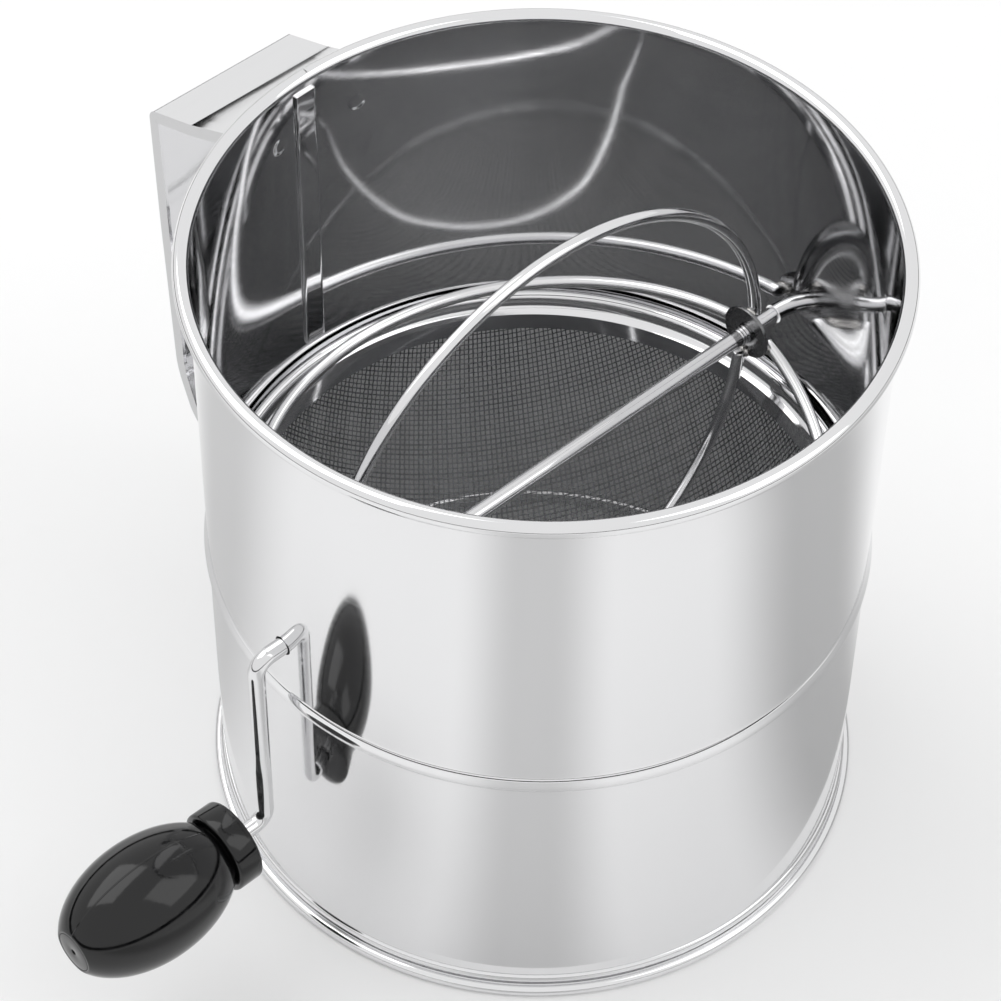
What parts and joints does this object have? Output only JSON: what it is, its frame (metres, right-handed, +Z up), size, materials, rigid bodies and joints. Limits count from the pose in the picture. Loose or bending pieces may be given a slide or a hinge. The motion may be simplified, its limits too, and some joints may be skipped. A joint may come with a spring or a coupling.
{
  "type": "flour sifter",
  "caption": "Hand-crank flour sifter: polished steel drum with a strap handle, a mesh bowl, a wire agitator and a black egg-shaped knob on a bent wire crank.",
  "frame": {"origin": "centre of the drum's base, on the surface that the sifter stands on", "axes": "+Z up along the drum's axis; the crank leaves toward -Y; the handle stands off toward -X"},
  "size_m": [0.2006, 0.2296, 0.175],
  "materials": {
    "polished_sheet": "polished stainless sheet",
    "bright_wire": "bright drawn stainless wire",
    "steel_wire": "plain drawn steel wire",
    "wire_cloth": "plain woven stainless wire cloth",
    "black_plastic": "moulded, glossy"
  },
  "bodies": {
    "root": {"body_shell": "polished_sheet", "rim_wire": "steel_wire", "base_wire": "steel_wire", "mesh_bowl": "wire_cloth", "mesh_ring_upper": "polished_sheet", "mesh_ring_lower": "polished_sheet", "handle_strap": "polished_sheet", "handle_welds": "steel_wire"},
    "crank": {"crank_rod": "bright_wire", "hub_disc_near": "bright_wire", "hub_disc_far": "bright_wire", "agitator_loop_1": "bright_wire", "agitator_loop_2": "bright_wire", "agitator_loop_3": "bright_wire", "agitator_loop_4": "bright_wire", "knob_push_nut": "steel_wire"},
    "knob": {"knob_collar": "black_plastic", "knob_body": "black_plastic", "knob_end_plug": "black_plastic"}
  },
  "joints": [
    {"name": "crank_spin", "type": "hinge", "parent": "root", "child": "crank", "pos_m": [0, 0, 0.1009], "axis": [0, 1, 0], "continuous": true},
    {"name": "knob_spin", "type": "hinge", "parent": "crank", "child": "knob", "pos_m": [0, -0.12, 0.0425], "axis": [0, 1, 0], "continuous": true}
  ]
}
